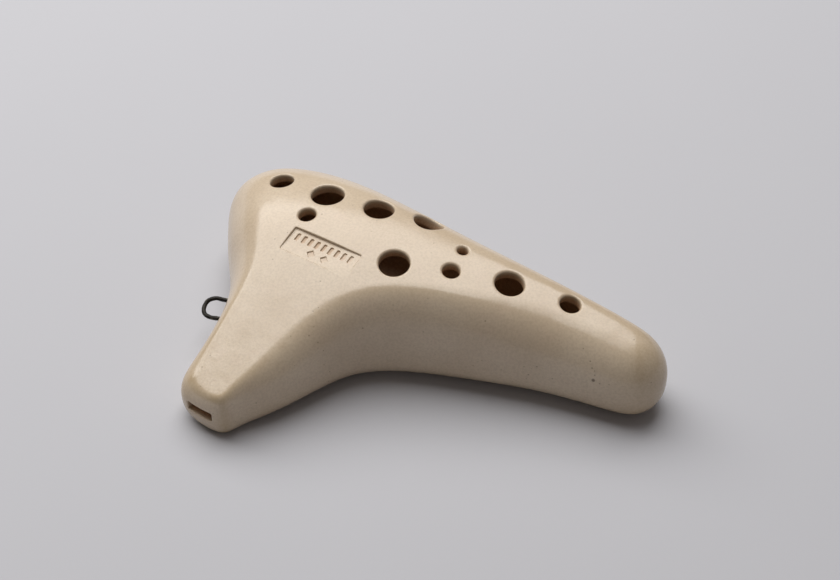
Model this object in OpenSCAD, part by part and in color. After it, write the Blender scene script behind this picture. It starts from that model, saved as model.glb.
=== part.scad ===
// Twelve-hole transverse ocarina in glazed clay, soprano G size class.
// A hollow clay vessel with a blunt bulb at -X, a tapering tail at +X and a
// beak (mouthpiece) reaching toward -Y. The chamber is two pressed shells luted
// together on a parting plane, the beak is a roof and a floor luted on in front,
// and a wire cord loop is bedded in the parting line beside the beak.
// Units are millimetres. +Z is up, the underside lies on Z = 0, and the
// origin is under the middle of the overall outline.

/* [Part to show] */
// Which sub-part to draw

/* [Body] */
// Overall length from bulb to tail end
body_length = 138.5; // [110:0.5:170]
// Overall reach from the far flank to the beak tip
body_reach = 87; // [70:0.5:110]
// Height of the crown above the underside
crown_height = 33.5; // [26:0.5:42]
// Height of the beak tip
tip_height = 13.2; // [10:0.1:18]
// Wall thickness of the chamber
wall = 3.2; // [2.5:0.1:4.5]
// Squareness of the rounded edges (2 is an ellipse)
edge_power = 2.3; // [2:0.05:3]

/* [Left hand finger holes] */
// Little finger hole diameter
left_little_d = 6.8; // [3:0.1:12]
// Ring finger hole diameter
left_ring_d = 9.4; // [3:0.1:12]
// Small companion hole beside the ring finger hole, diameter
left_sub_d = 5; // [2:0.1:8]
// Middle finger hole diameter
left_middle_d = 8.6; // [3:0.1:12]
// Index finger hole diameter
left_index_d = 8.8; // [3:0.1:12]
// Thumb hole diameter, on the underside
left_thumb_d = 9.5; // [3:0.1:12]

/* [Right hand finger holes] */
// Index finger hole diameter
right_index_d = 8.6; // [3:0.1:12]
// Middle finger hole diameter
right_middle_d = 4.9; // [3:0.1:12]
// Small companion hole beside the middle finger hole, diameter
right_sub_d = 3.1; // [2:0.1:8]
// Ring finger hole diameter
right_ring_d = 8.2; // [3:0.1:12]
// Little finger hole diameter
right_little_d = 5.8; // [3:0.1:12]
// Thumb hole diameter, on the underside
right_thumb_d = 8.5; // [3:0.1:12]

/* [Windway and voicing] */
// Width of the windway
windway_w = 8.2; // [6:0.1:12]
// Height of the windway at the lips
windway_mouth_h = 2.8; // [1.5:0.1:4]
// Height of the windway where it meets the window
windway_exit_h = 1.4; // [0.8:0.1:2]
// Length of the windway
windway_l = 32; // [24:0.5:40]
// Gap from the windway exit to the labium edge
window_gap = 5.5; // [3:0.1:8]
// Length of the labium ramp cut into the underside
labium_ramp = 9; // [5:0.5:14]
// Thickness of the labium edge
labium_edge = 0.5; // [0.2:0.1:1]

/* [Pressed panel] */
// Length of the pressed panel
panel_l = 22; // [14:0.5:28]
// Width of the pressed panel
panel_w = 8; // [5:0.5:12]
// Depth of the panel at its middle
panel_depth = 0.75; // [0.2:0.05:1.2]
// Number of short strokes in the ornament
stroke_count = 9; // [3:1:12]

/* [Cord loop] */
// Wire diameter
wire_d = 1.25; // [0.8:0.05:2]
// Distance between the two legs, centre to centre
loop_w = 7; // [4:0.1:10]
// How far the bend reaches out from the entry point
loop_reach = 8.6; // [6:0.1:12]
// How deep the legs are bedded in the clay
leg_depth = 2.6; // [1.5:0.1:3]

/* [Detail] */
// Stations for each span of the outline
span_steps = 4; // [3:1:8]
// Rows of facets on each rounded outer edge
edge_steps = 6; // [4:1:10]

/* [Hidden] */
clay = [0.80, 0.75, 0.66];
clay_under = [0.76, 0.70, 0.61];
wire_colour = [0.16, 0.14, 0.12];
kx = body_length / 138.5;
ky = body_reach / 87;
crown_x = -24 * kx;
crown_y = 20 * ky;
inner_edge_steps = 4;

// Angle at which a rounded edge gives way to the open face
edge_end = 82;

// Rows of the open face, as parts of the way to its middle
face_parts = [0.14, 0.32, 0.52, 0.75];

// Widest outline, clockwise from the bulb: [x, y, edge radius]
outline_nominal = [
    [-65, 13.5, 17], [-72, 26.5, 17.3], [-64.5, 40.5, 16], [-48.5, 44, 15.5],
    [-32.5, 43, 15.5], [-17, 39.7, 14.7], [1, 36, 13], [21, 33.2, 11.2],
    [41.3, 30.9, 8.5], [56.7, 29.3, 7.5], [65, 28.4, 10.5], [71, 20, 10],
    [66.5, 9, 9.5], [53.5, 8, 10.5], [37.5, 6.2, 11.8], [21.5, 2.2, 10.2],
    [4.8, -2, 9], [-9.9, -8.6, 9], [-16.5, -21, 9.4], [-23, -32.5, 7.3],
    [-29.4, -39, 3.6], [-31.7, -44.6, 2.7], [-39.6, -44.2, 2.7], [-46.4, -42.6, 4.6],
    [-49.4, -37.6, 7.5], [-48.2, -30, 5.2], [-48, -17.5, 5.2], [-52.6, -4.5, 13],
    [-59.5, 4.5, 14.2]
];

// Chamber outline, same order and count: [x, y, edge radius]
chamber_nominal = [
    [-62, 15, 13.5], [-68.5, 26.5, 13.9], [-62.5, 38, 12.5], [-48, 40.5, 12],
    [-33, 39.5, 12], [-17.5, 36.4, 11.2], [0.5, 32.5, 9.5], [20.8, 29.7, 7.8],
    [40.8, 27.3, 5.3], [56.2, 25.9, 4.8], [62.6, 25, 7], [67.5, 19.5, 7],
    [64.5, 11.8, 7], [53, 11.4, 7.3], [37, 9.4, 8.4], [20.5, 5.7, 7],
    [3.6, 1.6, 6], [-9.4, -4, 6], [-16, -8.5, 6], [-22, -11.5, 4],
    [-26.5, -13, 3], [-30, -13.7, 3], [-34, -14, 3], [-38, -13.5, 3],
    [-42, -12, 3], [-44.8, -9, 3], [-48.3, -4.5, 5], [-52.5, 1, 9],
    [-57, 8, 11]
];

// Middle of the plan, inside every ring of the skin
heart = [-23 * kx, 18.5 * ky];

// Parting plane between the upper and lower shells
function parting_z(x, y) = (10 - 0.031 * x / kx + 0.108 * y / ky) * crown_height / 33.5;

// Height of the crown line above the underside at station x
function crown_z(x) =
    let(d = (x - crown_x) / kx)
    crown_height - (d < 0 ? d * d / 377 : d * d / (397 + 3.45 * d)) * crown_height / 33.5;

// Slope of the beak's top face
beak_fall = (crown_z(-39.5 * kx) - tip_height - 2.67) / 43;

// Top surface: a shallow dome whose ridge moves toward the far flank along the
// tail, and which turns into the sloping beak in front
function top_z(x, y) =
    let(t = min(max(x / kx / 40, 0), 1), s = (crown_y - y) / ky,
        off = s + 4.5 * t * t * (3 - 2 * t), blend = 1 / (1 + exp((20 - s) / 5)))
    crown_z(x) - (1 - blend) * off * off / 119 - blend * (2.67 + beak_fall * (s - 20));

// Uniform cubic B-spline through the closed list p
function blend4(a, b, c, d, t) =
    (pow(1 - t, 3) * a + (3 * t * t * t - 6 * t * t + 4) * b
    + (-3 * t * t * t + 3 * t * t + 3 * t + 1) * c + t * t * t * d) / 6;
function spline(p) =
    let(n = len(p))
    [for (i = [0 : n - 1]) for (k = [0 : span_steps - 1])
        blend4(p[(i + n - 1) % n], p[i], p[(i + 1) % n], p[(i + 2) % n], k / span_steps)];

function scaled(p) = [for (q = p) [q[0] * kx, q[1] * ky, q[2]]];
function unit2(v) = v / norm(v);

// Adds the inward direction to each station: [x, y, radius, in_x, in_y]
function stations(p) =
    let(s = spline(scaled(p)), n = len(s))
    [for (i = [0 : n - 1])
        let(t = s[(i + 1) % n] - s[(i + n - 1) % n], u = unit2([t[1], -t[0]]))
        [s[i][0], s[i][1], s[i][2], u[0], u[1]]];

// One row of the rounded edge: angle 0 is the widest line, edge_end meets the open face
function edge_row(line, angle, up, drop) =
    let(a = pow(cos(angle), 2 / edge_power),
        b = pow(sin(angle) / sin(edge_end), 2 / edge_power))
    [for (q = line)
        let(x = q[0] + q[3] * q[2] * (1 - a), y = q[1] + q[4] * q[2] * (1 - a),
            zp = parting_z(x, y), zc = up ? top_z(x, y) - drop : drop)
        [x, y, zp + (zc - zp) * b]];

// One row of the open face, part of the way to the heart
function face_row(line, part, up, drop) =
    let(a = pow(cos(edge_end), 2 / edge_power))
    [for (q = line)
        let(x0 = q[0] + q[3] * q[2] * (1 - a), y0 = q[1] + q[4] * q[2] * (1 - a),
            x = x0 + (heart[0] - x0) * part, y = y0 + (heart[1] - y0) * part)
        [x, y, up ? top_z(x, y) - drop : drop]];

// Rows from the widest line to the face, for the upper or the lower side
function side_rows(line, up, drop, steps) = concat(
    [for (k = [0 : steps]) edge_row(line, k * edge_end / steps, up, drop)],
    [for (part = face_parts) face_row(line, part, up, drop)]);

function flat(rows) = [for (r = rows) for (p = r) p];
function reversed(rows) = [for (i = [len(rows) - 1 : -1 : 0]) rows[i]];

// Faces that join row k to row k + 1, for rows of n points
function band(n, k, flip) = [for (i = [0 : n - 1])
    let(j = (i + 1) % n, a = k * n + i, b = k * n + j, c = a + n, d = b + n)
    each (flip ? [[a, c, b], [b, c, d]] : [[a, b, c], [b, d, c]])];
function fan(n, k, tip, flip) = [for (i = [0 : n - 1])
    let(a = k * n + i, b = k * n + (i + 1) % n)
    flip ? [a, tip, b] : [a, b, tip]];

outer_line = stations(outline_nominal);
chamber_line = stations(chamber_nominal);
count = len(outer_line);

// Plan extents, used to put the origin under the middle of the outline
min_x = min([for (q = outer_line) q[0]]);
max_x = max([for (q = outer_line) q[0]]);
min_y = min([for (q = outer_line) q[1]]);
max_y = max([for (q = outer_line) q[1]]);
mid_x = (min_x + max_x) / 2;
mid_y = (min_y + max_y) / 2;

// Half of the vessel wall, closed by the parting face
module half_shell(up) {
    outer = side_rows(outer_line, up, 0, edge_steps);
    inner = side_rows(chamber_line, up, wall, inner_edge_steps);
    rows = concat(reversed(outer), inner);
    last = len(rows) - 1;
    outer_tip = [heart[0], heart[1], up ? top_z(heart[0], heart[1]) : 0];
    inner_tip = [heart[0], heart[1], up ? top_z(heart[0], heart[1]) - wall : wall];
    polyhedron(
        points = concat(flat(rows), [outer_tip, inner_tip]),
        faces = concat(
            [for (k = [0 : last - 1]) each band(count, k, up)],
            fan(count, 0, (last + 1) * count, !up),
            fan(count, last, (last + 1) * count + 1, up)),
        convexity = 8);
}

// The whole outer form as one solid, used for the beak
module outer_form() {
    rows = concat(
        reversed(side_rows(outer_line, false, 0, edge_steps)),
        [for (k = [1 : edge_steps + len(face_parts)]) side_rows(outer_line, true, 0, edge_steps)[k]]);
    last = len(rows) - 1;
    low_tip = [heart[0], heart[1], 0];
    high_tip = [heart[0], heart[1], top_z(heart[0], heart[1])];
    polyhedron(
        points = concat(flat(rows), [low_tip, high_tip]),
        faces = concat(
            [for (k = [0 : last - 1]) each band(count, k, false)],
            fan(count, 0, (last + 1) * count, true),
            fan(count, last, (last + 1) * count + 1, false)),
        convexity = 8);
}

// Beak frame: origin on the floor under the middle of the tip, +Y up the windway
tip = [-39.6 * kx, -43 * ky];
beak_turn = -11;
beak_l = 22;
mouth_z = 5.7;
exit_z = 2.2;
roof_drop = atan((mouth_z + windway_mouth_h - exit_z - windway_exit_h) / windway_l);

// Luting plane of the beak, along the middle of the windway's height
lute_z = mouth_z + windway_mouth_h / 2;
lute_drop = atan((lute_z - exit_z - windway_exit_h / 2) / windway_l);

module beak_frame() {
    translate([tip[0], tip[1], 0])
    rotate([0, 0, beak_turn])
    children();
}

// Windway passage, tapering from the lips to the window
module windway() {
    beak_frame()
    translate([windway_w / 2, 0, 0])
    rotate([90, 0, -90])
    linear_extrude(windway_w)
    polygon([
        [5, mouth_z + 5 * (mouth_z - exit_z) / windway_l],
        [5, mouth_z + windway_mouth_h + 5 * tan(roof_drop)],
        [-windway_l - 2, exit_z + windway_exit_h - 2 * tan(roof_drop)],
        [-windway_l - 2, exit_z]
    ]);
}

// One side of the beak's luting plane, from well beyond the lips to the beak joint
module beak_block(far_z) {
    beak_frame()
    translate([45, 0, 0])
    rotate([90, 0, -90])
    linear_extrude(90)
    polygon([
        [20, far_z], [20, lute_z + 20 * tan(lute_drop)],
        [-beak_l, lute_z - beak_l * tan(lute_drop)], [-beak_l, far_z]
    ]);
}

// Everything in front of the beak joint
module before_joint() {
    beak_frame()
    translate([-60, beak_l - 60, -10])
    cube([120, 60, 80]);
}

// Window above the labium, and the ramp that sharpens the labium edge
module voicing() {
    edge_z = wall - labium_edge;
    start = windway_l + window_gap;
    beak_frame()
    translate([windway_w / 2, 0, 0])
    rotate([90, 0, -90])
    linear_extrude(windway_w)
    polygon([
        [-windway_l, -1], [-windway_l, wall + 5], [-start, wall + 5], [-start, edge_z],
        [-start - labium_ramp, 0], [-start - labium_ramp - 3.4, -1]
    ]);
}

// Straight hole through the top wall, leaning with the surface
module top_hole(x, y, d, lean_x, lean_y, z) {
    translate([x * kx, y * ky, z])
    rotate([-lean_y, lean_x, 0])
    translate([0, 0, -9])
    cylinder(d = d, h = 18, $fn = 64);
}

module finger_holes() {
    k = crown_height / 33.5;
    top_hole(-52.8, 25.6, left_little_d, -10, 3, 31 * k);
    top_hole(-37, 24.4, left_ring_d, -4, 4, 33 * k);
    top_hole(-38.1, 14.4, left_sub_d, -4, -4, 33 * k);
    top_hole(-21.1, 25.4, left_middle_d, 0, 6, 33.3 * k);
    top_hole(-6.9, 28.8, left_index_d, 6, 27, 31.5 * k);
    top_hole(-7.6, 8.6, right_index_d, 4, -10, 32.2 * k);
    top_hole(7.3, 13.6, right_middle_d, 7, -4, 31.5 * k);
    top_hole(6.7, 22, right_sub_d, 7, 2, 31.8 * k);
    top_hole(22.8, 18.1, right_ring_d, 9, -1, 29.5 * k);
    top_hole(39.7, 20.8, right_little_d, 10, -1, 26.8 * k);
}

module thumb_hole(x, y, d) {
    translate([x * kx, y * ky, -2])
    cylinder(d = d, h = wall + 6, $fn = 64);
}

// Shallow pressed panel with a generic ornament: a row of strokes and two diamonds
module panel() {
    translate([-28.1 * kx, 4.2 * ky, top_z(-28.1 * kx, 4.2 * ky) - panel_depth])
    rotate([10.5, -0.8, -5.7]) {
        translate([-panel_l / 2, -panel_w / 2, 0])
        cube([panel_l, panel_w, 4]);
        for (i = [0 : stroke_count - 1])
            translate([(i - (stroke_count - 1) / 2) * 2.2, 1.6, -0.3])
            cube([0.9, 2.4, 1], center = true);
        for (x = [-2.2, 2.2])
            translate([x, -1.7, -0.55])
            cylinder(d = 2.4, h = 1, $fn = 4);
    }
}

// Cord loop frame: origin at the entry point on the parting plane, +X outward
module loop_frame() {
    x = -49.5 * kx;
    y = -9.5 * ky;
    translate([x, y, parting_z(x, y)])
    rotate([6.2, 1.8, 0])
    rotate([0, 0, 192])
    children();
}

module wire_leg(side, length) {
    translate([loop_reach - loop_w / 2, side * loop_w / 2, 0])
    rotate([0, -90, 0])
    cylinder(d = wire_d, h = length, $fn = 32);
}

module loop_legs() {
    leg_l = loop_reach - loop_w / 2 + leg_depth - 2;
    for (side = [-1, 1]) wire_leg(side, leg_l);
}

module upper_shell() {
    color(clay)
    translate([-mid_x, -mid_y, 0])
    difference() {
        half_shell(true);
        before_joint();
        finger_holes();
        panel();
        loop_frame() loop_legs();
    }
}

module lower_shell() {
    color(clay_under)
    translate([-mid_x, -mid_y, 0])
    difference() {
        half_shell(false);
        before_joint();
        windway();
        voicing();
        thumb_hole(-48, 22, left_thumb_d);
        thumb_hole(12, 16, right_thumb_d);
        loop_frame() loop_legs();
    }
}

module mouthpiece_roof() {
    color(clay)
    translate([-mid_x, -mid_y, 0])
    difference() {
        intersection() {
            outer_form();
            beak_block(60);
        }
        windway();
    }
}

module mouthpiece_floor() {
    color(clay_under)
    translate([-mid_x, -mid_y, 0])
    difference() {
        intersection() {
            outer_form();
            beak_block(-10);
        }
        windway();
    }
}

module strap_loop() {
    color(wire_colour)
    translate([-mid_x, -mid_y, 0])
    loop_frame() {
        loop_legs();
        translate([loop_reach - loop_w / 2, 0, 0])
        rotate([0, 0, -90])
        rotate_extrude(angle = 180, $fn = 64)
        translate([loop_w / 2, 0])
        circle(d = wire_d, $fn = 32);
    }
}

upper_shell();
lower_shell();
mouthpiece_roof();
mouthpiece_floor();
strap_loop();
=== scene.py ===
"""Twelve-hole transverse ocarina in glazed clay, on a pale studio floor.

The clay is one implicit surface in millimetres: the vessel, minus its chamber, holes,
windway, window and pressed panel, with every edge softened as a glaze softens it. The
surface is meshed once and cut on the luting planes into the four clay pieces, so that
their joints close exactly. The wire loop is swept separately.
"""

import math

import bpy
import numpy as np
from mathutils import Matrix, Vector
from mathutils.geometry import delaunay_2d_cdt


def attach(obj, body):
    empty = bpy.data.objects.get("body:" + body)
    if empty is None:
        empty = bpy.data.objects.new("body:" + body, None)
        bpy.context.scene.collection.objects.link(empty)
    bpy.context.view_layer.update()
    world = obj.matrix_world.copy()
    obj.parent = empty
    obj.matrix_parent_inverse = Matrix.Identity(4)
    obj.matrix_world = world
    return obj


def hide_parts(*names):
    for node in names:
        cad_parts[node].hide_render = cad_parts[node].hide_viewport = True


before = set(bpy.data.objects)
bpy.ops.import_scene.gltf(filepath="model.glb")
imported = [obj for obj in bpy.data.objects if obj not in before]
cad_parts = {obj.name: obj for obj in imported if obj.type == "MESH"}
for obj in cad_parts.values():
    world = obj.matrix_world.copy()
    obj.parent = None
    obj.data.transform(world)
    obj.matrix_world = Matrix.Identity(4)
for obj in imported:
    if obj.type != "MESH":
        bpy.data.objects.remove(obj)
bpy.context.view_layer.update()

# ---------------------------------------------------------------- dimensions, mm
CROWN, TIP_HEIGHT, WALL, POWER = 33.5, 13.2, 3.2, 2.3
CROWN_X, CROWN_Y = -24, 20

# How fast the crown line falls toward the bulb and the tail, and how round the dome is
BULB_FALL, TAIL_FALL, TAIL_EASE, DOME = 377, 397, 3.45, 119

# The ridge moves this far toward the far flank along the first part of the tail
RIDGE_SHIFT, RIDGE_RUN = 4.5, 40

# Where the dome gives way to the beak, the drop there, and the length of the beak's slope
BEAK_START, BEAK_STEP, BEAK_BLEND, BEAK_RUN = 20, 2.67, 5, 43

# Parting plane: its height at the origin, and its slope along x and y
PARTING, PARTING_X, PARTING_Y = 10, -0.031, 0.108

# Widest outline and chamber outline, clockwise from the bulb: x, y, edge radius
OUTLINE = np.array([
    (-65, 13.5, 17), (-72, 26.5, 17.3), (-64.5, 40.5, 16), (-48.5, 44, 15.5),
    (-32.5, 43, 15.5), (-17, 39.7, 14.7), (1, 36, 13), (21, 33.2, 11.2),
    (41.3, 30.9, 8.5), (56.7, 29.3, 7.5), (65, 28.4, 10.5), (71, 20, 10),
    (66.5, 9, 9.5), (53.5, 8, 10.5), (37.5, 6.2, 11.8), (21.5, 2.2, 10.2),
    (4.8, -2, 9), (-9.9, -8.6, 9), (-16.5, -21, 9.4), (-23, -32.5, 7.3),
    (-29.4, -39, 3.6), (-31.7, -44.6, 2.7), (-39.6, -44.2, 2.7), (-46.4, -42.6, 4.6),
    (-49.4, -37.6, 7.5), (-48.2, -30, 5.2), (-48, -17.5, 5.2), (-52.6, -4.5, 13),
    (-59.5, 4.5, 14.2)])
CHAMBER = np.array([
    (-62, 15, 13.5), (-68.5, 26.5, 13.9), (-62.5, 38, 12.5), (-48, 40.5, 12),
    (-33, 39.5, 12), (-17.5, 36.4, 11.2), (0.5, 32.5, 9.5), (20.8, 29.7, 7.8),
    (40.8, 27.3, 5.3), (56.2, 25.9, 4.8), (62.6, 25, 7), (67.5, 19.5, 7),
    (64.5, 11.8, 7), (53, 11.4, 7.3), (37, 9.4, 8.4), (20.5, 5.7, 7),
    (3.6, 1.6, 6), (-9.4, -4, 6), (-16, -8.5, 6), (-22, -11.5, 4),
    (-26.5, -13, 3), (-30, -13.7, 3), (-34, -14, 3), (-38, -13.5, 3),
    (-42, -12, 3), (-44.8, -9, 3), (-48.3, -4.5, 5), (-52.5, 1, 9),
    (-57, 8, 11)])

# Finger holes: x, y, z, diameter, lean along x and y in degrees
HOLES = [
    (-52.8, 25.6, 31, 6.8, -10, 3), (-37, 24.4, 33, 9.4, -4, 4),
    (-38.1, 14.4, 33, 5, -4, -4), (-21.1, 25.4, 33.3, 8.6, 0, 6),
    (-6.9, 28.8, 31.5, 8.8, 6, 27), (-7.6, 8.6, 32.2, 8.6, 4, -10),
    (7.3, 13.6, 31.5, 4.9, 7, -4), (6.7, 22, 31.8, 3.1, 7, 2),
    (22.8, 18.1, 29.5, 8.2, 9, -1), (39.7, 20.8, 26.8, 5.8, 10, -1)]
THUMB_HOLES = [(-48, 22, 9.5), (12, 16, 8.5)]

TIP, BEAK_TURN, BEAK_L = (-39.6, -43.0), math.radians(-11), 22.0
WIND_W, WIND_L, MOUTH_Z, MOUTH_H, EXIT_Z, EXIT_H = 8.2, 32.0, 5.7, 2.8, 2.2, 1.4
WINDOW_GAP, RAMP_L, EDGE_Z = 5.5, 9.0, 2.7
PANEL_AT, PANEL_L, PANEL_W, PANEL_DEPTH = (-28.1, 4.2), 22.0, 8.0, 0.75
PANEL_TURN = (10.5, -0.8, -5.7)
STROKE_PITCH, SIDE_STROKES = 2.2, 4
LOOP_AT, LOOP_TURN, WIRE_D, LOOP_W, LOOP_REACH = (-49.5, -9.5), math.radians(192), 1.25, 7.0, 8.6
SOCKET_END, SOCKET_FIT = -0.6, 0.05


# ---------------------------------------------------------------- plan curves
def spline(points, per):
    """Closed uniform cubic B-spline."""
    t = (np.arange(per) / per)[:, None, None]
    a, b, c, d = (np.roll(points, k, axis=0)[None] for k in (1, 0, -1, -2))
    s = ((1 - t) ** 3 * a + (3 * t**3 - 6 * t * t + 4) * b
         + (-3 * t**3 + 3 * t * t + 3 * t + 1) * c + t**3 * d) / 6
    return s.transpose(1, 0, 2).reshape(-1, points.shape[1])


def crown_z(x):
    """Height of the crown line at a station along the body."""
    d = x - CROWN_X
    return CROWN - np.where(d < 0, d * d / BULB_FALL,
                            d * d / (TAIL_FALL + TAIL_EASE * np.abs(d)))


BEAK_FALL = float((crown_z(-39.5) - TIP_HEIGHT - BEAK_STEP) / BEAK_RUN)


def top_z(x, y):
    """Height of the top face: a dome on the body and a slope on the beak."""
    t = np.clip(x / RIDGE_RUN, 0, 1)
    s = CROWN_Y - y
    off = s + RIDGE_SHIFT * t * t * (3 - 2 * t)
    blend = 1 / (1 + np.exp(np.clip((BEAK_START - s) / BEAK_BLEND, -40, 40)))
    return crown_z(x) - (1 - blend) * off * off / DOME \
        - blend * (BEAK_STEP + BEAK_FALL * (s - BEAK_START))


def parting_z(x, y):
    return PARTING + PARTING_X * x + PARTING_Y * y


class Plan:
    """Distance in from a closed outline, and the edge radius there, on a square grid."""

    def __init__(self, points, low, step, shape):
        self.low, self.step, self.shape = low, step, shape
        line = spline(points, 20)
        after = np.roll(line, -1, axis=0)
        gx = low[0] + step * np.arange(shape[0])
        gy = low[1] + step * np.arange(shape[1])
        p = np.stack(np.meshgrid(gx, gy, indexing="ij"), -1).reshape(-1, 2)
        depth, radius = np.empty(len(p)), np.empty(len(p))
        for s in range(0, len(p), 8000):
            q = p[s:s + 8000]
            near = ((q[:, None] - line[None, :, :2]) ** 2).sum(-1).argmin(1)
            best = None
            for k in ((near - 1) % len(line), near):
                a, b = line[k], after[k]
                ab = b[:, :2] - a[:, :2]
                t = np.clip(((q - a[:, :2]) * ab).sum(1) / (ab**2).sum(1), 0, 1)
                off = q - (a[:, :2] + ab * t[:, None])
                dist = np.sqrt((off**2).sum(1))
                side = off[:, 0] * ab[:, 1] - off[:, 1] * ab[:, 0]
                rad = a[:, 2] + (b[:, 2] - a[:, 2]) * t
                if best is None:
                    best = [dist, side, rad]
                else:
                    m = dist < best[0]
                    best = [np.where(m, n, o) for n, o in zip((dist, side, rad), best)]
            depth[s:s + 8000] = np.where(best[1] > 0, best[0], -best[0])
            radius[s:s + 8000] = best[2]
        self.depth, self.radius = depth.reshape(shape), radius.reshape(shape)

    def at(self, x, y):
        """Smooth (cubic) reading of both grids at any points."""
        u, v = (x - self.low[0]) / self.step, (y - self.low[1]) / self.step
        i = np.clip(np.floor(u).astype(int), 1, self.shape[0] - 3)
        j = np.clip(np.floor(v).astype(int), 1, self.shape[1] - 3)
        wu, wv = cubic(u - i), cubic(v - j)
        depth, radius = np.zeros_like(x), np.zeros_like(x)
        for a in range(4):
            for b in range(4):
                w = wu[a] * wv[b]
                depth += w * self.depth[i + a - 1, j + b - 1]
                radius += w * self.radius[i + a - 1, j + b - 1]
        return depth, radius


def cubic(f):
    return (0.5 * (-f + 2 * f * f - f**3), 0.5 * (2 - 5 * f * f + 3 * f**3),
            0.5 * (f + 4 * f * f - 3 * f**3), 0.5 * (f**3 - f * f))


# ---------------------------------------------------------------- the clay as one field
def soft_max(a, b, k):
    h = np.maximum(k - np.abs(a - b), 0) / k
    return np.maximum(a, b) + h * h * k / 4


def vessel(x, y, z, depth, radius, inset):
    """About the distance to the vessel's skin (inset 0) or to the chamber's (inset WALL)."""
    a = np.maximum(1 - depth / radius, 1e-5)
    zp = parting_z(x, y)
    h = np.where(z > zp, top_z(x, y) - inset - zp, zp - inset)
    b = np.maximum(np.abs(z - zp) / h, 1e-5)
    q = a**POWER + b**POWER
    scale = q ** (1 / POWER)
    slope = scale / q * np.hypot(a ** (POWER - 1) / radius, b ** (POWER - 1) / h)
    return (scale - 1) / np.maximum(slope, 0.02)


def turned(x, y, at, turn):
    """Plan coordinates in a frame at a point, turned anticlockwise."""
    c, s = math.cos(turn), math.sin(turn)
    return c * (x - at[0]) + s * (y - at[1]), -s * (x - at[0]) + c * (y - at[1])


def rod(p, at, axis, r, low, high):
    """Cylinder from low to high along an axis through a point."""
    q = p - at
    t = q @ axis
    return np.maximum(np.sqrt(np.maximum((q**2).sum(1) - t * t, 0)) - r,
                      np.maximum(low - t, t - high))


def lean_axis(lx, ly):
    lx, ly = math.radians(lx), math.radians(ly)
    return np.array((math.sin(lx) * math.cos(ly), math.sin(ly), math.cos(lx) * math.cos(ly)))


def round_box(u, v, hu, hv, r):
    """Rectangle of half sizes hu, hv with corner radius r."""
    a, b = np.abs(u) - hu + r, np.abs(v) - hv + r
    return np.hypot(np.maximum(a, 0), np.maximum(b, 0)) + np.minimum(np.maximum(a, b), 0) - r


def windway(p):
    u, v = turned(p[:, 0], p[:, 1], TIP, BEAK_TURN)
    f = v / WIND_L
    low = MOUTH_Z + (EXIT_Z - MOUTH_Z) * f
    high = MOUTH_Z + MOUTH_H + (EXIT_Z + EXIT_H - MOUTH_Z - MOUTH_H) * f
    half = np.maximum((high - low) / 2, 0.3)
    section = round_box(u, p[:, 2] - (low + high) / 2, WIND_W / 2, half, 0.5)
    return np.maximum(section, v - WIND_L - 2)


def window(p):
    u, v = turned(p[:, 0], p[:, 1], TIP, BEAK_TURN)
    mid = WIND_L + WINDOW_GAP / 2
    hole = round_box(u, v - mid, WIND_W / 2, WINDOW_GAP / 2, 0.3)
    return np.maximum(hole, p[:, 2] - 8)


def ramp(p):
    u, v = turned(p[:, 0], p[:, 1], TIP, BEAK_TURN)
    v = v - WIND_L - WINDOW_GAP
    face = (p[:, 2] - EDGE_Z + v * EDGE_Z / RAMP_L) * math.cos(math.atan(EDGE_Z / RAMP_L))
    return np.maximum(np.maximum(np.abs(u) - WIND_W / 2, face), -v - 1)


def panel_frame(p):
    """Coordinates on the floor of the pressed panel: along, across, up."""
    at = np.array((PANEL_AT[0], PANEL_AT[1], float(top_z(*PANEL_AT)) - PANEL_DEPTH))
    rx, ry, rz = (math.radians(v) for v in PANEL_TURN)
    mx = np.array(((1, 0, 0), (0, math.cos(rx), -math.sin(rx)), (0, math.sin(rx), math.cos(rx))))
    my = np.array(((math.cos(ry), 0, math.sin(ry)), (0, 1, 0), (-math.sin(ry), 0, math.cos(ry))))
    mz = np.array(((math.cos(rz), -math.sin(rz), 0), (math.sin(rz), math.cos(rz), 0), (0, 0, 1)))
    return (p - at) @ (mz @ my @ mx)


def panel(p):
    q = panel_frame(p)
    return np.maximum(round_box(q[:, 0], q[:, 1], PANEL_L / 2, PANEL_W / 2, 0.3), -q[:, 2])


def ornament(p):
    """A row of short strokes with two diamonds under it, pressed into the panel's floor."""
    q = panel_frame(p)
    x = q[:, 0]
    near = np.clip(np.round(x / STROKE_PITCH), -SIDE_STROKES, SIDE_STROKES) * STROKE_PITCH
    strokes = np.maximum(round_box(x - near, q[:, 1] - 1.6, 0.45, 1.2, 0.25), -q[:, 2] - 0.4)
    dx = np.abs(np.abs(x) - STROKE_PITCH)
    diamonds = np.maximum((dx + np.abs(q[:, 1] + 1.7) - 1.2) * 0.7071, -q[:, 2] - 0.35)
    return np.minimum(strokes, diamonds)


def loop_base():
    """Point on the parting plane just inside the flank, and the directions out and across."""
    at = np.array((*LOOP_AT, float(parting_z(*LOOP_AT))))
    out = np.array((math.cos(LOOP_TURN), math.sin(LOOP_TURN), 0.0))
    side = np.array((-out[1], out[0], 0.0))
    for v in (out, side):
        v[2] = PARTING_X * v[0] + PARTING_Y * v[1]
        v /= np.linalg.norm(v)
    return at, out, side


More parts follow.
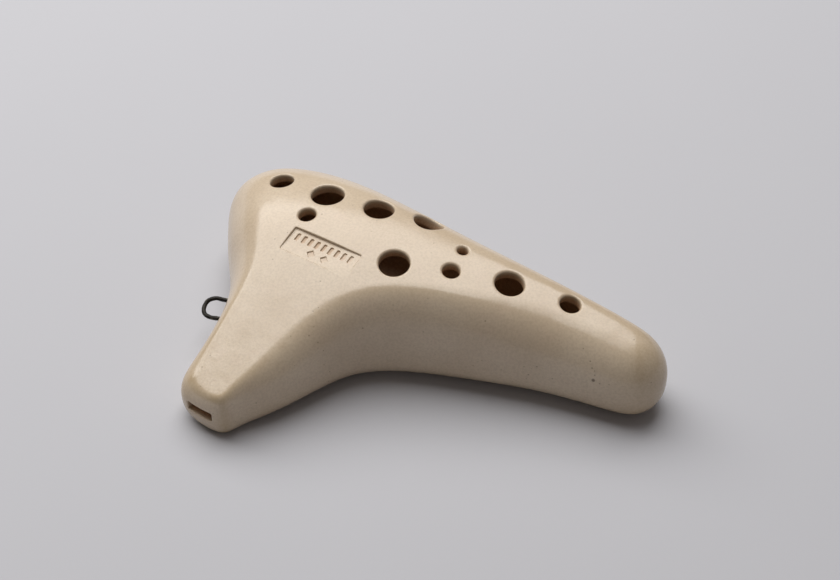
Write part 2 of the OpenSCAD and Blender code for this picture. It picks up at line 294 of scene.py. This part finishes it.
def cuts():
    """Every cutter: its field, edge softness, and a box that holds all it changes."""
    made = []

    def add(field, soft, low, high):
        made.append((field, soft, np.array(low, float) - 1.5, np.array(high, float) + 1.5))

    for x, y, z, d, lx, ly in HOLES:
        at, axis, r = np.array((x, y, z)), lean_axis(lx, ly), d / 2
        add(lambda p, at=at, axis=axis, r=r: rod(p, at, axis, r, -9, 9), 0.9,
            (x - r - 5, y - r - 5, z - 9.5), (x + r + 5, y + r + 5, z + 5))
    for x, y, d in THUMB_HOLES:
        at, axis, r = np.array((x, y, 0.0)), np.array((0, 0, 1.0)), d / 2
        add(lambda p, at=at, axis=axis, r=r: rod(p, at, axis, r, -3, 8), 0.9,
            (x - r, y - r, -3), (x + r, y + r, 8))
    add(windway, 0.5, (-50, -46, 0), (-24, -6, 12))
    add(window, 0.35, (-42, -16, -3), (-24, -3, 9))
    add(ramp, 0.25, (-42, -10, -3), (-20, 8, 6))
    add(panel, 0.35, (-41, -3, 27), (-15, 11, 36))
    add(ornament, 0.22, (-41, -3, 27), (-15, 11, 36))
    at, out, side = loop_base()
    for s in (-1, 1):
        foot = at + side * (s * LOOP_W / 2)
        add(lambda p, foot=foot: rod(p, foot, out, WIRE_D / 2 + SOCKET_FIT, SOCKET_END, 9), 0.3,
            foot - 6, foot + 6)
    return made


CUTS = cuts()


def clay(p, plans):
    """Signed field of the whole clay body at points p; negative inside the clay."""
    x, y, z = p[:, 0], p[:, 1], p[:, 2]
    (d0, r0), (d1, r1) = plans
    s = soft_max(vessel(x, y, z, d0, r0, 0), -vessel(x, y, z, d1, r1, WALL), 0.8)
    for field, soft, low, high in CUTS:
        m = np.flatnonzero(((p > low) & (p < high)).all(1))
        if len(m):
            s[m] = soft_max(s[m], -field(p[m]), soft)
    return s


# ---------------------------------------------------------------- meshing
def surface_net(values, low, step):
    """Triangles on the zero surface of a grid of values, one vertex in each crossed cell."""
    inside = values < 0
    corner = [(a, b, c) for a in (0, 1) for b in (0, 1) for c in (0, 1)]
    n = np.array(values.shape) - 1
    count = sum(inside[a:a + n[0], b:b + n[1], c:c + n[2]].astype(np.int8) for a, b, c in corner)
    cells = np.argwhere((count > 0) & (count < 8))
    number = -np.ones(n, int)
    number[tuple(cells.T)] = np.arange(len(cells))
    v = {o: values[cells[:, 0] + o[0], cells[:, 1] + o[1], cells[:, 2] + o[2]] for o in corner}
    total, hits = np.zeros((len(cells), 3)), np.zeros(len(cells))
    for a in corner:
        for k in range(3):
            if a[k]:
                continue
            b = tuple(a[m] + (m == k) for m in range(3))
            m = (v[a] < 0) != (v[b] < 0)
            t = v[a][m] / (v[a][m] - v[b][m])
            total[m] += np.array(a) + t[:, None] * (np.array(b) - np.array(a))
            hits[m] += 1
    verts = low + step * (cells + total / hits[:, None])
    quads = []
    for k in range(3):
        i, j = (k + 1) % 3, (k + 2) % 3
        first = [slice(None)] * 3
        second = [slice(None)] * 3
        first[k], second[k] = slice(0, n[k]), slice(1, None)
        for m in (i, j):
            first[m] = second[m] = slice(1, n[m])
        a, b = inside[tuple(first)], inside[tuple(second)]
        for flip in (False, True):
            e = np.argwhere((b & ~a) if flip else (a & ~b))
            e[:, i] += 1
            e[:, j] += 1
            ring = []
            for di, dj in ((-1, -1), (0, -1), (0, 0), (-1, 0)):
                q = e.copy()
                q[:, i] += di
                q[:, j] += dj
                ring.append(number[tuple(q.T)])
            ring = np.stack(ring, 1)
            quads.append(ring[:, ::-1] if flip else ring)
    quads = np.concatenate(quads)
    diag = np.linalg.norm(verts[quads[:, 0]] - verts[quads[:, 2]], axis=1) \
        < np.linalg.norm(verts[quads[:, 1]] - verts[quads[:, 3]], axis=1)
    one = np.where(diag[:, None], quads[:, [0, 1, 2]], quads[:, [0, 1, 3]])
    two = np.where(diag[:, None], quads[:, [0, 2, 3]], quads[:, [1, 2, 3]])
    return verts, np.concatenate([one, two])


def field_at(p, plans):
    return clay(p, [q.at(p[:, 0], p[:, 1]) for q in plans])


def slope_at(p, plans, h=0.04):
    g = np.empty_like(p)
    for k in range(3):
        step = np.zeros(3)
        step[k] = h
        g[:, k] = (field_at(p + step, plans) - field_at(p - step, plans)) / (2 * h)
    return g


def settle(p, plans, rounds):
    """Moves points on to the zero surface along the field's slope."""
    for _ in range(rounds):
        s = field_at(p, plans)
        g = slope_at(p, plans)
        step = s / np.maximum((g**2).sum(1), 0.1)
        p = p - g * np.clip(step, -0.3, 0.3)[:, None]
    return p


def edges_of(tris):
    e = np.sort(np.concatenate([tris[:, [0, 1]], tris[:, [1, 2]], tris[:, [2, 0]]]), axis=1)
    pairs, back = np.unique(e, axis=0, return_inverse=True)
    return pairs, back.reshape(3, -1).T


def relax(p, tris, plans, rounds):
    """Evens out the triangles along the surface."""
    pairs, _ = edges_of(tris)
    for _ in range(rounds):
        total, hits = np.zeros_like(p), np.zeros(len(p))
        for a, b in ((0, 1), (1, 0)):
            np.add.at(total, pairs[:, a], p[pairs[:, b]])
            np.add.at(hits, pairs[:, a], 1)
        p = settle(p + 0.5 * (total / hits[:, None] - p), plans, 1)
    return p


def refine(p, tris, target):
    """Splits every edge that is longer than target at its middle, and closes the triangles."""
    pairs, back = edges_of(tris)
    mid = (p[pairs[:, 0]] + p[pairs[:, 1]]) / 2
    cut = np.linalg.norm(p[pairs[:, 0]] - p[pairs[:, 1]], axis=1) > target(mid)
    new = np.where(cut, len(p) + np.cumsum(cut) - 1, -1)
    m = new[back]
    out = [tris[(m < 0).all(1)]]
    number = (m >= 0).sum(1)
    for k in range(3):
        roll = [(k + n) % 3 for n in range(3)]
        t, e = tris[:, roll], m[:, roll]
        one = (number == 1) & (e[:, 0] >= 0)
        a, b, c, ab = t[one, 0], t[one, 1], t[one, 2], e[one, 0]
        out += [np.stack([a, ab, c], 1), np.stack([ab, b, c], 1)]
        two = (number == 2) & (e[:, 2] < 0)
        a, b, c, ab, bc = t[two, 0], t[two, 1], t[two, 2], e[two, 0], e[two, 1]
        out += [np.stack([ab, b, bc], 1), np.stack([a, ab, bc], 1), np.stack([a, bc, c], 1)]
    full = number == 3
    a, b, c, (ab, bc, ca) = *tris[full].T, m[full].T
    out += [np.stack(q, 1) for q in ((a, ab, ca), (ab, b, bc), (ca, bc, c), (ab, bc, ca))]
    return np.concatenate([p, mid[cut]]), np.concatenate(out)


def fineness(p):
    """Longest edge wanted at each point, mm."""
    want = np.full(len(p), 1.15)
    for x, y, z, d, lx, ly in HOLES:
        q = p - (x, y, z)
        axis = lean_axis(lx, ly)
        t = q @ axis
        r = np.sqrt(np.maximum((q**2).sum(1) - t * t, 0))
        near = (np.abs(r - d / 2) < 1.0) & (np.abs(t) < 6)
        want[near] = np.where(np.abs(t[near]) < 1.3, 0.36, 0.7)
    for x, y, d in THUMB_HOLES:
        r = np.hypot(p[:, 0] - x, p[:, 1] - y)
        want[(np.abs(r - d / 2) < 1.0) & (p[:, 2] < 5)] = 0.4
    u, v = turned(p[:, 0], p[:, 1], TIP, BEAK_TURN)
    want[(np.abs(windway(p)) < 0.9) & (v < 3)] = 0.3
    want[(np.abs(window(p)) < 0.8) & (p[:, 2] < 5)] = 0.35
    want[(np.abs(ramp(p)) < 0.7) & (v > WIND_L)] = 0.4
    want[(v < 3.5) & (p[:, 2] < 16)] = np.minimum(want[(v < 3.5) & (p[:, 2] < 16)], 0.6)
    q = panel_frame(p)
    on = (np.abs(q[:, 0]) < PANEL_L / 2 + 1) & (np.abs(q[:, 1]) < PANEL_W / 2 + 1) \
        & (np.abs(q[:, 2]) < 2)
    want[on] = 0.3
    on &= (np.abs(ornament(p)) < 0.5)
    want[on] = 0.2
    at, out, side = loop_base()
    for s in (-1, 1):
        d = rod(p, at + side * (s * LOOP_W / 2), out, WIRE_D / 2 + SOCKET_FIT, SOCKET_END, 9)
        want[np.abs(d) < 0.8] = 0.3
    return want


def clay_mesh():
    """The whole clay body: points in mm, triangles, outward normals."""
    step = 0.8
    low = np.array((-72.0, -46.4, -1.6))
    shape = (182, 117, 47)
    plans = [Plan(points, low[:2], step / 2, (shape[0] * 2, shape[1] * 2))
             for points in (OUTLINE, CHAMBER)]
    grid = [low[k] + step * np.arange(shape[k]) for k in range(3)]
    p = np.stack(np.meshgrid(*grid, indexing="ij"), -1).reshape(-1, 3)
    flat = [[np.repeat(a[::2, ::2][:, :, None], shape[2], axis=2).ravel()
             for a in (q.depth, q.radius)] for q in plans]
    values = clay(p, flat).reshape(shape)
    verts, tris = surface_net(values, low, step)
    verts = settle(verts, plans, 3)
    verts = relax(verts, tris, plans, 2)
    for _ in range(3):
        verts, tris = refine(verts, tris, fineness)
        verts = settle(verts, plans, 2)
        verts = relax(verts, tris, plans, 1)
    normals = slope_at(verts, plans, 0.03)
    normals /= np.linalg.norm(normals, axis=1)[:, None]
    return verts, tris, normals, plans


# ---------------------------------------------------------------- cutting on the luting planes
def cap_triangles(flat, ends):
    """Fills the outline that the segments (ends, indices into flat) draw, by even-odd."""
    keys, index = np.unique(np.round(flat, 5), axis=0, return_inverse=True)
    ends = index.reshape(-1)[ends]
    ends = ends[ends[:, 0] != ends[:, 1]]
    made = delaunay_2d_cdt([Vector(q) for q in keys], [tuple(map(int, e)) for e in ends],
                           [], 0, 1e-6)
    points = np.array([tuple(v) for v in made[0]])
    faces = np.array([f for f in made[2] if len(f) == 3])
    mid = points[faces].mean(axis=1)
    a, b = keys[ends[:, 0]], keys[ends[:, 1]]
    hits = np.zeros(len(mid), int)
    for p, q in zip(a, b):
        spans = (p[1] > mid[:, 1]) != (q[1] > mid[:, 1])
        if spans.any():
            x = p[0] + (mid[spans, 1] - p[1]) * (q[0] - p[0]) / (q[1] - p[1])
            hits[spans] += x > mid[spans, 0]
    return points, faces[hits % 2 == 1]


def cut(body, at, normal):
    """Cuts a closed body on a plane into the part in front and the part behind, with caps."""
    verts, tris, normals = body
    normal = np.array(normal, float) / np.linalg.norm(normal)
    d = (verts - at) @ normal
    d = np.where(np.abs(d) < 1e-5, 1e-5, d)
    pairs, back = edges_of(tris)
    crossed = (d[pairs[:, 0]] > 0) != (d[pairs[:, 1]] > 0)
    a, b = pairs[crossed].T
    t = (d[a] / (d[a] - d[b]))[:, None]
    mid = verts[a] + t * (verts[b] - verts[a])
    lean = normals[a] + t * (normals[b] - normals[a])
    lean /= np.linalg.norm(lean, axis=1)[:, None]
    m = np.where(crossed, len(verts) + np.cumsum(crossed) - 1, -1)[back]
    sides = {1: [], -1: []}
    for side in sides:
        sides[side].append(tris[(m < 0).all(1) & (np.sign(d[tris[:, 0]]) == side)])
    ends = []
    for k in range(3):
        t3, e = tris[:, [k, (k + 1) % 3, (k + 2) % 3]], m[:, [k, (k + 1) % 3, (k + 2) % 3]]
        lone = (e[:, 0] >= 0) & (e[:, 2] >= 0)
        (p, q, r), ab, ca = t3[lone].T, e[lone, 0], e[lone, 2]
        ends.append(np.stack([ab, ca], 1) - len(verts))
        for side in sides:
            on = np.sign(d[p]) == side
            sides[side].append(np.stack([p, ab, ca], 1)[on])
            sides[side].append(np.stack([ab, q, r], 1)[~on])
            sides[side].append(np.stack([ab, r, ca], 1)[~on])
    u = np.cross(normal, (0.0, 1.0, 0.0) if abs(normal[1]) < 0.9 else (1.0, 0.0, 0.0))
    u /= np.linalg.norm(u)
    w = np.cross(normal, u)
    flat = np.stack([(mid - at) @ u, (mid - at) @ w], 1)
    points, faces = cap_triangles(flat, np.concatenate(ends))
    cap = at + points[:, :1] * u + points[:, 1:] * w
    grown = np.concatenate([verts, mid])
    grown_normals = np.concatenate([normals, lean])
    made = []
    for side in (1, -1):
        own = np.concatenate(sides[side])
        used, own = np.unique(own, return_inverse=True)
        lid = (faces[:, ::-1] if side == 1 else faces) + len(used)
        made.append((np.concatenate([grown[used], cap]),
                     np.concatenate([own.reshape(-1, 3), lid]),
                     np.concatenate([grown_normals[used], np.tile(-side * normal, (len(cap), 1))])))
    return made


# ---------------------------------------------------------------- wire loop
def wire_mesh():
    """Bent wire swept round its path, a little uneven, as bedded and fired wire is."""
    at, out, side = loop_base()
    up = np.cross(out, side)
    bend, half = LOOP_REACH - LOOP_W / 2, LOOP_W / 2
    path = [(x, half) for x in np.linspace(-0.4, bend, 14)[:-1]]
    path += [(bend + half * math.cos(t), half * math.sin(t))
             for t in np.linspace(math.pi / 2, -math.pi / 2, 40)]
    path += [(x, -half) for x in np.linspace(bend, -0.4, 14)[1:]]
    path = np.array(path)
    s = np.concatenate([[0], np.cumsum(np.linalg.norm(np.diff(path, axis=0), axis=1))])
    wave = np.interp(s, [0, 2.6, 4, s[-1] - 4, s[-1] - 2.6, s[-1]], [0, 0, 1, 1, 0, 0])
    line = at + path[:, :1] * out + path[:, 1:] * side
    line = line + up * (wave * (0.16 * np.sin(s * 0.55 + 0.4) + 0.05 * np.sin(s * 2.1)))[:, None]
    line = line + out * (wave * 0.1 * np.sin(s * 0.9 + 1.1))[:, None]
    ahead = np.gradient(line, axis=0)
    ahead /= np.linalg.norm(ahead, axis=1)[:, None]
    sides = 20
    ring = np.linspace(0, 2 * math.pi, sides, endpoint=False)
    verts = []
    for k in range(len(line)):
        across = np.cross(ahead[k], up)
        across /= np.linalg.norm(across)
        high = np.cross(across, ahead[k])
        r = WIRE_D / 2 * (1 + 0.03 * math.sin(s[k] * 3.1) + 0.025 * math.sin(s[k] * 7.7))
        flat = 1 - 0.05 * wave[k] * (1 + math.sin(s[k] * 1.3))
        verts.append(line[k] + r * (np.cos(ring)[:, None] * across
                                    + flat * np.sin(ring)[:, None] * high))
    verts = np.concatenate(verts + [line[:1], line[-1:]])
    tris, n = [], len(line)
    for k in range(n - 1):
        for j in range(sides):
            a, b = k * sides + j, k * sides + (j + 1) % sides
            tris += [(a, b, a + sides), (b, b + sides, a + sides)]
    for j in range(sides):
        tris.append((n * sides, (j + 1) % sides, j))
        tris.append((n * sides + 1, (n - 1) * sides + j, (n - 1) * sides + (j + 1) % sides))
    return verts, np.array(tris)


# ---------------------------------------------------------------- pieces
coarse = spline(OUTLINE, 4)[:, :2]
MID = np.array([*((coarse.min(axis=0) + coarse.max(axis=0)) / 2), 0.0])


def piece(name, verts, tris, normals, node, slot):
    """A Blender object from millimetre data, standing for a CAD node."""
    mesh = bpy.data.meshes.new(name)
    mesh.from_pydata(((verts - MID) * 0.001).tolist(), [], tris.tolist())
    mesh.shade_smooth()
    if normals is not None:
        mesh.normals_split_custom_set_from_vertices(normals.tolist())
    obj = bpy.data.objects.new(name, mesh)
    bpy.context.scene.collection.objects.link(obj)
    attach(obj, "root")
    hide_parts(node)
    return obj


def attribute(obj, name, values):
    layer = obj.data.attributes.new(name, "FLOAT", "POINT")
    layer.data.foreach_set("value", np.asarray(values, np.float32))


def edge_tint_shade_mask(p, plans, h=1.6):
    """How sharply the outer form turns at p, from 0 on open faces to 1 on a tight edge. It places
    the darker edge tint, which is partly the glaze's own colour on edges and partly painted shade
    for the dark that the glossy shoulders reflect.
    """
    def form(q):
        d, r = plans[0].at(q[:, 0], q[:, 1])
        return vessel(q[:, 0], q[:, 1], q[:, 2], d, r, 0)
    bend = -6 * form(p)
    for k in range(3):
        step = np.zeros(3)
        step[k] = h
        bend += form(p + step) + form(p - step)
    return np.clip((bend / h**2 - 0.05) / 0.3, 0, 1)


def inner_skin(p, plans):
    """1 on unglazed clay inside the holes, windway and chamber; 0 on the glazed outside."""
    d, r = plans[0].at(p[:, 0], p[:, 1])
    depth = -vessel(p[:, 0], p[:, 1], p[:, 2], d, r, 0)
    depth = np.where(np.abs(ramp(p)) < 0.3, 0, depth)
    return np.clip((depth - 0.75) / 0.9, 0, 1)


whole, triangles, slopes, plans = clay_mesh()
up_beak = np.array((-math.sin(BEAK_TURN), math.cos(BEAK_TURN), 0.0))
tip = np.array((*TIP, 0.0))
lute_z = MOUTH_Z + MOUTH_H / 2
lute_fall = (lute_z - EXIT_Z - EXIT_H / 2) / WIND_L
vessel_part, beak_part = cut((whole, triangles, slopes), tip + up_beak * BEAK_L, up_beak)
upper, lower = cut(vessel_part, np.array((0.0, 0.0, PARTING)), (-PARTING_X, -PARTING_Y, 1))
roof, floor_part = cut(beak_part, tip + (0, 0, lute_z), lute_fall * up_beak + (0, 0, 1))

clay_pieces = []
for name, body, node in (("glazed_upper_shell", upper, "upper_shell"),
                         ("glazed_lower_shell", lower, "lower_shell"),
                         ("glazed_mouthpiece_roof", roof, "mouthpiece_roof"),
                         ("glazed_mouthpiece_floor", floor_part, "mouthpiece_floor")):
    obj = piece(name, *body, node, "glazed_clay")
    # Edge tint mask: partly the glaze's own edge colour, partly painted shade along the shoulders.
    attribute(obj, "edge_tint_and_shade", edge_tint_shade_mask(body[0], plans))
    attribute(obj, "inner", inner_skin(body[0], plans))
    clay_pieces.append(obj)
wire = piece("fired_wire_loop", *wire_mesh(), None, "strap_loop", "fired_wire")


# ---------------------------------------------------------------- materials
class Nodes:
    """A short way to write a node tree."""

    def __init__(self, name):
        self.material = bpy.data.materials.new(name)
        self.material.use_nodes = True
        self.tree = self.material.node_tree
        self.shader = self.tree.nodes["Principled BSDF"]
        place = self.add("ShaderNodeTexCoord")
        self.place = place.outputs["Object"]

    def add(self, kind, **settings):
        node = self.tree.nodes.new(kind)
        for key, value in settings.items():
            setattr(node, key, value)
        return node

    def link(self, source, target):
        self.tree.links.new(source, target)

    def put(self, value, socket):
        if isinstance(value, bpy.types.NodeSocket):
            self.link(value, socket)
        else:
            socket.default_value = value

    def noise(self, scale, detail=3.0, rough=0.55, warp=0.0):
        node = self.add("ShaderNodeTexNoise")
        self.link(self.place, node.inputs["Vector"])
        node.inputs["Scale"].default_value = scale
        node.inputs["Detail"].default_value = detail
        node.inputs["Roughness"].default_value = rough
        node.inputs["Distortion"].default_value = warp
        return node.outputs["Fac"]

    def spots(self, scale, size, soft):
        """Scattered round spots: 1 inside a spot, 0 between them."""
        node = self.add("ShaderNodeTexVoronoi")
        self.link(self.place, node.inputs["Vector"])
        node.inputs["Scale"].default_value = scale
        return self.band(node.outputs["Distance"], size, size - soft)

    def band(self, value, low, high, out_low=0.0, out_high=1.0):
        node = self.add("ShaderNodeMapRange", interpolation_type="SMOOTHSTEP")
        self.put(value, node.inputs["Value"])
        for key, v in (("From Min", low), ("From Max", high), ("To Min", out_low),
                       ("To Max", out_high)):
            node.inputs[key].default_value = v
        return node.outputs["Result"]

    def math(self, kind, a, b):
        node = self.add("ShaderNodeMath", operation=kind)
        self.put(a, node.inputs[0])
        self.put(b, node.inputs[1])
        return node.outputs[0]

    def mix(self, factor, a, b):
        node = self.add("ShaderNodeMix", data_type="RGBA")
        self.put(factor, node.inputs["Factor"])
        for value, socket in ((a, node.inputs[6]), (b, node.inputs[7])):
            self.put((*value, 1.0) if isinstance(value, tuple) else value, socket)
        return node.outputs[2]

    def value(self, name):
        return self.add("ShaderNodeAttribute", attribute_name=name).outputs["Fac"]

    def bump(self, height, strength, distance, under=None):
        node = self.add("ShaderNodeBump")
        node.inputs["Strength"].default_value = strength
        node.inputs["Distance"].default_value = distance
        self.link(height, node.inputs["Height"])
        if under is not None:
            self.link(under, node.inputs["Normal"])
        return node.outputs["Normal"]

    def set(self, **sockets):
        for key, value in sockets.items():
            self.put(value, self.shader.inputs[key.replace("_", " ")])


def glazed_clay():
    n = Nodes("glazed_clay")
    broad = n.noise(38, 4, 0.6)
    patch = n.noise(150, 4, 0.6, 0.3)
    grain = n.noise(1500, 3, 0.6)
    colour = n.mix(n.band(broad, 0.35, 0.68), (0.62, 0.50, 0.365), (0.68, 0.565, 0.425))
    colour = n.mix(n.band(patch, 0.5, 0.75, 0, 0.4), colour, (0.62, 0.48, 0.36))
    colour = n.mix(n.band(grain, 0.35, 0.7, 0, 0.28), colour, (0.40, 0.31, 0.22))
    # Edge tint: darker ochre on tight edges, partly the glaze's own colour and partly painted shade
    # standing in for the dark band that the shoulders reflect.
    edge_tint_and_shade = n.math("MULTIPLY", n.value("edge_tint_and_shade"), n.band(patch, 0.3, 0.65, 0.55, 1.0))
    colour = n.mix(n.math("MULTIPLY", edge_tint_and_shade, 0.62), colour, (0.40, 0.29, 0.15))
    fleck = n.math("MULTIPLY", n.spots(420, 0.13, 0.06), n.band(n.noise(90), 0.5, 0.62))
    colour = n.mix(n.math("MULTIPLY", fleck, 0.45), colour, (0.13, 0.08, 0.05))
    iron = n.math("MULTIPLY", n.spots(75, 0.055, 0.03), n.band(n.noise(33), 0.5, 0.6))
    colour = n.mix(n.math("MULTIPLY", iron, 0.8), colour, (0.10, 0.065, 0.04))
    inner = n.value("inner")
    colour = n.mix(inner, colour, n.mix(n.band(grain, 0.3, 0.7), (0.44, 0.27, 0.155),
                                        (0.54, 0.36, 0.22)))
    n.set(Base_Color=colour)
    outside = n.band(n.noise(240, 3), 0.3, 0.7, 0.17, 0.23)
    rough = n.add("ShaderNodeMix", data_type="FLOAT")
    n.link(inner, rough.inputs["Factor"])
    n.link(outside, rough.inputs[2])
    rough.inputs[3].default_value = 0.8
    n.set(Roughness=rough.outputs[0], IOR=1.56)
    wave = n.bump(n.noise(110, 2, 0.5), 0.25, 0.0006)
    n.set(Normal=n.bump(n.math("ADD", grain, n.math("MULTIPLY", fleck, -0.8)), 0.16, 0.00012, wave))
    return n.material


def fired_wire():
    n = Nodes("fired_wire")
    scale = n.noise(900, 4, 0.65)
    patch = n.noise(420, 3, 0.6, 0.4)
    colour = n.mix(n.band(scale, 0.35, 0.7), (0.012, 0.011, 0.010), (0.040, 0.036, 0.030))
    residue = n.band(patch, 0.58, 0.66)
    colour = n.mix(residue, colour, (0.21, 0.19, 0.115))
    n.set(Base_Color=colour, Metallic=n.band(patch, 0.56, 0.64, 0.85, 0.0),
          Roughness=n.band(scale, 0.3, 0.7, 0.34, 0.6),
          Normal=n.bump(n.math("ADD", scale, residue), 0.5, 0.00012))
    return n.material


clay_look = glazed_clay()
for obj in clay_pieces:
    obj.data.materials.append(clay_look)
wire.data.materials.append(fired_wire())


# ---------------------------------------------------------------- floor, light, camera
def backdrop():
    """A pale flat sheet under the object."""
    xs, ys = np.linspace(-3, 3, 25), np.linspace(-3, 3, 25)
    verts = [(x, y, 0.0) for y in ys for x in xs]
    faces = [(j * 25 + i, j * 25 + i + 1, j * 25 + i + 26, j * 25 + i + 25)
             for j in range(24) for i in range(24)]
    mesh = bpy.data.meshes.new("floor")
    mesh.from_pydata(verts, [], faces)
    obj = bpy.data.objects.new("floor", mesh)
    bpy.context.scene.collection.objects.link(obj)
    n = Nodes("pale_floor")
    tone = n.mix(n.noise(9, 3), (0.515, 0.52, 0.555), (0.535, 0.54, 0.575))
    n.set(Base_Color=tone, Roughness=0.75)
    n.set(Normal=n.bump(n.noise(900, 3), 0.06, 0.0002))
    mesh.materials.append(n.material)


def area(name, at, aim, size, power, colour):
    data = bpy.data.lights.new(name, "AREA")
    data.shape, data.size, data.size_y = "RECTANGLE", *size
    data.energy, data.color = power, colour
    obj = bpy.data.objects.new(name, data)
    obj.location = at
    obj.rotation_euler = (Vector(at) - Vector(aim)).to_track_quat("Z", "Y").to_euler()
    bpy.context.scene.collection.objects.link(obj)


backdrop()
area("softbox", (-1.23, 0.562, 1.2), (-1.23, 0.562, 0.0), (2.83, 1.39), 45.0, (1.0, 0.985, 0.965))

world = bpy.data.worlds.new("studio")
world.use_nodes = True
world.node_tree.nodes["Background"].inputs["Color"].default_value = (0.69, 0.63, 0.60, 1)
world.node_tree.nodes["Background"].inputs["Strength"].default_value = 0.2
bpy.context.scene.world = world
bpy.context.scene.view_settings.view_transform = "Standard"

camera = bpy.data.cameras.new("camera")
camera.lens, camera.sensor_width = 78.0, 36.0
camera.clip_start = 0.01
eye = bpy.data.objects.new("camera", camera)
back = Vector((0.3266, -0.6409, 0.6947)).normalized()
eye.location = Vector((-0.00433, 0.01841, 0.015)) + 0.512 * back
eye.rotation_euler = back.to_track_quat("Z", "Y").to_euler()
bpy.context.scene.collection.objects.link(eye)
bpy.context.scene.camera = eye
